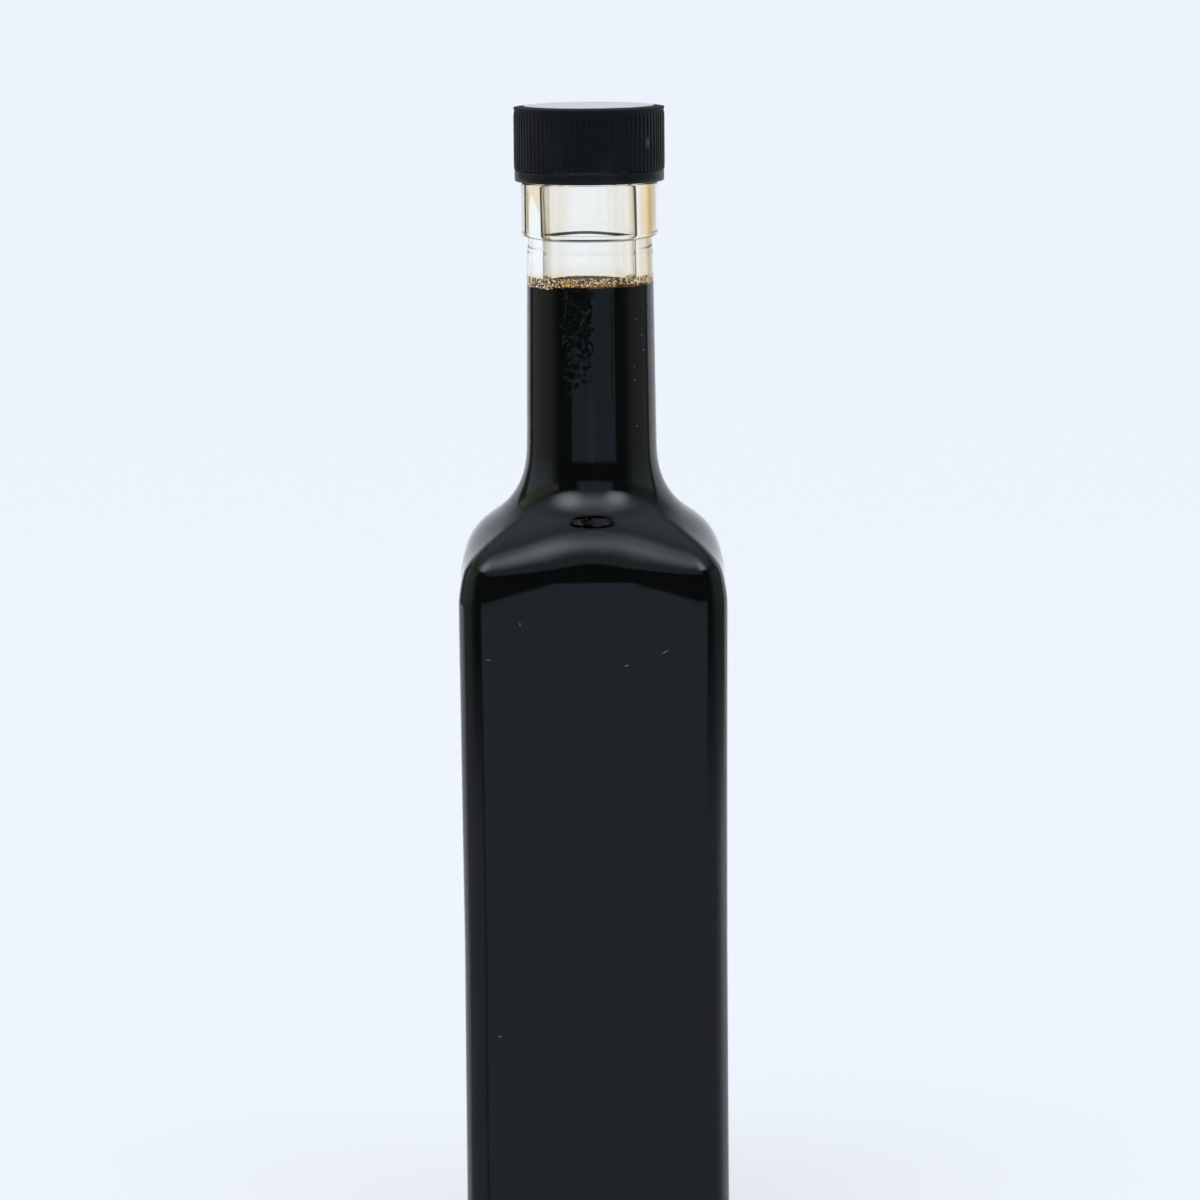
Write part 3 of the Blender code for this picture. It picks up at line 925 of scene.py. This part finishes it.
class BOTTLE_OT_froth(bpy.types.Operator):
    """Make the froth: a smooth skin on the molasses and bubbles that cling to the bore"""

    bl_idname = "bottle.froth"
    bl_label = "Froth"

    def execute(self, context):
        glass = context.scene.bottle_glass
        settings = context.scene.bottle_contents
        foot = FILL_LEVEL + SKIN_LIFT - 0.3 * MM
        bore = width_at(foot, inside(glass.wall))
        rings = [bore_ring(foot, (bore + WETTING) * s, glass) for s in (0.05, 0.6, 1.0)]
        for share in np.linspace(1.0, 0.04, 26):
            ring = bore_ring(foot, (bore + WETTING) * share, glass)
            climb = 0.35 * max(share - 0.85, 0.0) / 0.15
            for point in ring:
                lumps = noise.noise(Vector((point[0], point[1], 0.0)) / (1.4 * MM))
                point[2] += (0.5 + 0.12 * lumps + climb) * MM
            rings.append(ring)
        settle(added("froth_skin", loft("froth_skin", rings), skin_look(settings)), "froth", "froth")
        wall = self.wall_band(glass, bore + WETTING / 2)
        look = froth_look(settings)
        made = bubble_tree(look).grown_on(wall, {
            "Density": settings.bubbles, "Radius": settings.bubble, "Seed": settings.seed})
        bpy.data.objects.remove(wall)
        settle(added("froth_bubbles", made, look), "froth", "froth")
        return {'FINISHED'}

    @staticmethod
    def wall_band(glass, radius):
        """The strip of the bore on which bubbles cling, its lower edge uneven."""
        rings = []
        for level in np.linspace(0.0, 1.0, 5):
            ring = bore_ring(FILL_LEVEL, radius, glass)
            for point in ring:
                turn = math.atan2(point[1], point[0])
                ragged = noise.noise(Vector((math.cos(turn) * 3.5, math.sin(turn) * 3.5, 4.0)))
                front = eased(-point[1] / radius, -0.75, -0.15)
                sag = eased(-point[0] / radius, 0.45, 0.85)
                low = (1.1 + 0.5 * ragged - 0.9 * sag) * MM
                high = (1.1 - 0.35 * sag + 1.5 * front) * MM
                point[2] += low + (high - low) * level
            rings.append(ring)
        return added("wall_band", skinned("wall_band", rings))


class BOTTLE_OT_cap(bpy.types.Operator):
    """Make the screw cap: top, ribbed skirt, slit, bridges and tamper band"""

    bl_idname = "bottle.cap"
    bl_label = "Cap"

    def execute(self, context):
        settings = context.scene.bottle_cap
        look = cap_look(settings)
        radius, top = CAP_HIGH.x, CAP_HIGH.z
        root = radius - settings.rib_depth
        band_top = CAP_LOW.z + settings.band_height
        skirt_foot = band_top + settings.slit
        bore = radius - CAP_WALL
        under = top - CAP_TOP_WALL
        edge = top - CAP_RIM_DROP
        rim = arc((edge - CAP_ROUNDING, radius - CAP_ROUNDING), CAP_ROUNDING, 15, 90, 5)
        rim += [(edge - 0.36 * MM, radius - 0.03 * MM), (edge - 0.46 * MM, root + 0.06 * MM)]
        skirt = [(top, CAP_DISC * share) for share in (0.05, 0.3, 0.6, 0.85, 1.0)]
        skirt += [(top - 0.03 * MM, CAP_DISC + 0.12 * MM)] + rim
        skirt += [(edge - 0.55 * MM, root), (skirt_foot + 0.3 * MM, root)]
        skirt += [(skirt_foot + 0.06 * MM, root), (skirt_foot, root - 0.06 * MM)]
        skirt += [(skirt_foot, bore), (under, bore), (under, bore * 0.5), (under, bore * 0.05)]
        shell = added("cap_shell", loft("cap_shell", self.turned(skirt[::-1])), look)
        ribs = rib_tree(look).grown_on(shell, {
            "Count": settings.ribs, "Ring": radius - settings.rib_width / 2, "Width": settings.rib_width,
            "Foot": skirt_foot + 0.03 * MM, "Top": edge - 0.2 * MM})
        bpy.data.objects.remove(shell)
        settle(added("cap_skirt", ribs, look), "black_cap", "cap")
        self.band(settings, look, band_top, bore)
        return {'FINISHED'}

    def band(self, settings, look, band_top, bore):
        """The tamper band with its bridges."""
        outer = CAP_HIGH.x - BAND_INSET
        foot, corner = CAP_LOW.z, BAND_CHAMFER
        outline = [(foot + corner, bore), (foot, bore + corner), (foot, outer - corner)]
        outline += [(foot + corner * 0.3, outer - corner * 0.3), (foot + corner, outer)]
        outline += [(band_top - CAP_ROUNDING, outer), (band_top, outer - CAP_ROUNDING), (band_top, bore)]
        mesh = skinned("cap_band", self.turned(outline), closed=True)
        mesh.shade_smooth()
        ring = added("cap_ring", mesh, look)
        made = bridge_tree(look).grown_on(ring, {
            "Count": settings.bridges, "Ring": outer - 0.35 * MM, "Height": band_top + settings.slit / 2,
            "Size": (0.4 * MM, 0.5 * MM, settings.slit + 0.1 * MM)})
        bpy.data.objects.remove(ring)
        settle(added("cap_band", made, look), "black_cap", "cap")

    @staticmethod
    def turned(outline):
        """Rings round the axis for an outline of heights and radii."""
        angles = 2 * np.pi * np.arange(AROUND_CAP) / AROUND_CAP
        circle = np.column_stack([np.cos(angles), np.sin(angles), np.zeros(AROUND_CAP)])
        return [circle * radius + (0.0, 0.0, height) for height, radius in outline]


class BOTTLE_OT_stage(bpy.types.Operator):
    """Set the camera, the floor, the light and the surroundings"""

    bl_idname = "bottle.stage"
    bl_label = "Stage"

    def execute(self, context):
        settings = context.scene.bottle_stage
        self.camera(context.scene, settings)
        self.floor(settings)
        self.light(settings)
        context.scene.world = self.surroundings(settings.backdrop)
        context.scene.view_settings.view_transform = 'Standard'
        return {'FINISHED'}

    @staticmethod
    def camera(scene, settings):
        """A camera in front of the bottle, a little above it."""
        data = bpy.data.cameras.new("camera")
        data.lens = settings.lens
        data.sensor_width = 36.0
        data.clip_end = 100.0
        camera = added("camera", data)
        forward = Vector((math.sin(settings.yaw) * math.cos(settings.pitch),
                          math.cos(settings.yaw) * math.cos(settings.pitch), -math.sin(settings.pitch)))
        turn = forward.to_track_quat('-Z', 'Y').to_matrix().to_4x4()
        turn = turn @ Matrix.Rotation(-settings.roll, 4, 'Z')
        camera.matrix_world = Matrix.Translation((0.0, -settings.distance, settings.height)) @ turn
        scene.camera = camera

    @staticmethod
    def floor(settings):
        """A pale floor that the glass neither mirrors nor shows."""
        look = principled("pale_floor", roughness=0.9, specular_ior_level=0.0,
                          emission_color=(0.96, 0.96, 1.0, 1.0), emission_strength=0.65,
                          base_color=colour(shaded(settings.backdrop, 0.42)))[0]
        form = bmesh.new()
        bmesh.ops.create_grid(form, x_segments=1, y_segments=1, size=FLOOR_SIZE / 2)
        floor = added("floor", mesh_of("floor", form), look)
        floor.visible_glossy = False
        floor.visible_transmission = False

    @staticmethod
    def light(settings):
        """A round softbox, above the bottle and in front of it, that lights only what isn't glossy."""
        data = bpy.data.lights.new("softbox", 'AREA')
        data.shape = 'DISK'
        data.size = LIGHT_SIZE
        data.energy = settings.light
        softbox = added("softbox", data)
        softbox.visible_glossy = False
        softbox.visible_camera = False
        softbox.visible_transmission = False
        turn = (-LIGHT_PLACE).to_track_quat('-Z', 'Y').to_matrix().to_4x4()
        softbox.matrix_world = Matrix.Translation(LIGHT_PLACE) @ turn

    @staticmethod
    def lamp(tree, direction, around, rise, reach):
        """Share of a soft round lamp, from its place in degrees and how far it reaches."""
        around, rise = math.radians(around), math.radians(rise)
        middle = (math.sin(around) * math.cos(rise), -math.cos(around) * math.cos(rise), math.sin(rise))
        facing = tree.node('ShaderNodeVectorMath', {"operation": 'DOT_PRODUCT'}, {0: direction, 1: middle}, 1)
        return tree.fall(facing.math('ARCCOSINE') * DEGREES, 0.0, reach)

    def surroundings(self, backdrop):
        """A pale sweep behind, grey walls and a table at the sides, a dark room and two soft lamps.

        Its bounds are degrees: around from the front, away from it to either side, and up from level.
        """
        world = bpy.data.worlds.new("surroundings")
        tree = Tree(world)
        direction = tree.node('ShaderNodeTexCoord', output="Generated")
        across = tree.node('ShaderNodeSeparateXYZ', None, {0: direction})
        around = tree.azimuth(across, tree.also(across, 1))
        rise = tree.also(across, 2).math('ARCSINE') * DEGREES
        away = around.math('ABSOLUTE')
        right = tree.step(around, -5.0, 5.0)
        dark = (0.055, 0.078, 0.072)
        # Walls at the sides, with the warmer tone of a table along their foot.
        shade = tree.step(rise, -10.0, 24.0, 0.5, 1.0) * tree.step(rise, 24.0, 30.0, 1.0, 0.45)
        wall = tree.mix(right, (0.45, 0.52, 0.56), (0.31, 0.38, 0.38))
        table = tree.mix(right, (0.47, 0.455, 0.45), (0.415, 0.405, 0.40))
        wall = tree.mix(tree.window(rise, -7.5, 0.0, 1.0), wall, table)
        tone = tree.mix(tree.step(away, 57.0, 84.0) * shade, dark, wall)
        # The wall in front, the ceiling, and a panel below them, darker above its foot save in its middle.
        far = tree.window(around, -26.0, 37.0, 3.0) * tree.step(rise, 26.0, 29.5)
        far = far.math('MAXIMUM', tree.step(rise, 39.0, 48.0))
        tone = tree.mix(far, tone, (0.29, 0.36, 0.41))
        middle = tree.fall(away, 2.5, 7.0)
        below = tree.fall(rise, 1.0, 6.0)
        below = below + (tree.fall(rise, 3.8, 5.8) - below) * middle
        dimmed = tree.step(rise, -8.0, -6.5) * (1.0 - middle * 0.8)
        panel = tree.mix(dimmed, (0.32, 0.42, 0.52), (0.24, 0.33, 0.40))
        tone = tree.mix(tree.window(around, -35.0, 43.0, 2.5) * below, tone, panel)
        # Dark gaps between the walls and the sweep, the top of the table and a shelf.
        gap = tree.window(around, -142.0, -127.0, 2.0) + tree.window(around, 117.0, 130.0, 2.0)
        tone = tree.mix(gap * tree.fall(rise, 26.0, 46.0), tone, (0.09, 0.11, 0.11))
        near = tree.mix(tree.step(around, 75.0, 125.0), (0.36, 0.38, 0.46), (0.95, 1.0, 1.1))
        tone = tree.mix(tree.step(away, 33.0, 46.0) * tree.fall(rise, -12.0, -9.5), tone, near)
        shelf = tree.window(around, -140.0, -61.0, 3.0) * tree.window(rise, 27.0, 37.5, 1.5)
        tone = tree.mix(shelf, tone, (0.40, 0.42, 0.31))
        # The sweep behind.
        edge = right * 124.0 + (1.0 - right) * tree.step(rise, -8.5, -6.0, 113.0, 142.0)
        back = tree.step(away - edge, -3.0, 4.0) * tree.fall(rise, 12.0, 42.0)
        sweep = tree.mix(tree.step(away, 155.0, 170.0), shaded(backdrop, 0.84), backdrop)
        tone = tree.mix(back, tone, sweep)
        # Light from above and two lamps.
        glow = tree.step(rise, 40.0, 65.0) * tree.step(rise, 65.0, 86.0, 0.4, 0.12)
        glow = glow * tree.step(away, 60.0, 114.0, 1.0, 0.1)
        lamps = self.lamp(tree, direction, -49.0, 54.0, 25.0) * 0.7
        lamps = lamps + self.lamp(tree, direction, 49.0, 50.5, 21.0) * 0.8
        lit = glow + lamps * tree.step(rise, 39.0, 46.0)
        tone = tree.mix(lit.math('MINIMUM', 1.0), tone, (3.15, 3.55, 3.9))
        # What shows through the glass: a brighter sweep with dark gaps.
        gaps = tree.window(away, 107.0, 120.5, 1.5) + tree.window(away, 59.5, 73.0, 1.5)
        through = tree.mix(gaps, shaded(backdrop, 1.12), dark)
        through = tree.mix(tree.step(rise, 45.0, 80.0), through, tone)
        rays = tree.node('ShaderNodeLightPath')
        tone = tree.mix(tree.also(rays, "Is Transmission Ray"), tone, through)
        tone = tree.mix(rays, tone, backdrop)
        background = tree.node('ShaderNodeBackground', None, {"Color": tone, "Strength": 1.0})
        tree.end(background, 'ShaderNodeOutputWorld')
        return world


class BOTTLE_PT_panel(bpy.types.Panel):
    """The bottle's pieces and their settings"""

    bl_idname = "BOTTLE_PT_panel"
    bl_label = "Molasses bottle"
    bl_space_type = 'VIEW_3D'
    bl_region_type = 'UI'
    bl_category = "Bottle"

    def draw(self, context):
        for group, (_, *operators) in GROUPS.items():
            box = self.layout.box()
            settings = getattr(context.scene, group)
            for name in settings.bl_rna.properties.keys():
                if name not in {"rna_type", "name"}:
                    box.prop(settings, name)
            for operator in operators:
                box.operator(operator.bl_idname)


# The settings and then the operators of each group, in the order in which they run.
GROUPS = {
    "bottle_glass": (GlassSettings, BOTTLE_OT_glass),
    "bottle_contents": (ContentsSettings, BOTTLE_OT_molasses, BOTTLE_OT_froth, BOTTLE_OT_residue),
    "bottle_cap": (CapSettings, BOTTLE_OT_cap),
    "bottle_stage": (StageSettings, BOTTLE_OT_stage),
}
CLASSES = (*(kind for group in GROUPS.values() for kind in group), BOTTLE_PT_panel)


def register():
    for kind in CLASSES:
        bpy.utils.register_class(kind)
    for name, (settings, *_) in GROUPS.items():
        setattr(bpy.types.Scene, name, PointerProperty(type=settings))


def unregister():
    for name in GROUPS:
        delattr(bpy.types.Scene, name)
    for kind in reversed(CLASSES):
        bpy.utils.unregister_class(kind)


def main():
    register()
    for _, *operators in GROUPS.values():
        for operator in operators:
            getattr(bpy.ops.bottle, operator.bl_idname.split(".")[1])()


if __name__ == "__main__":
    main()
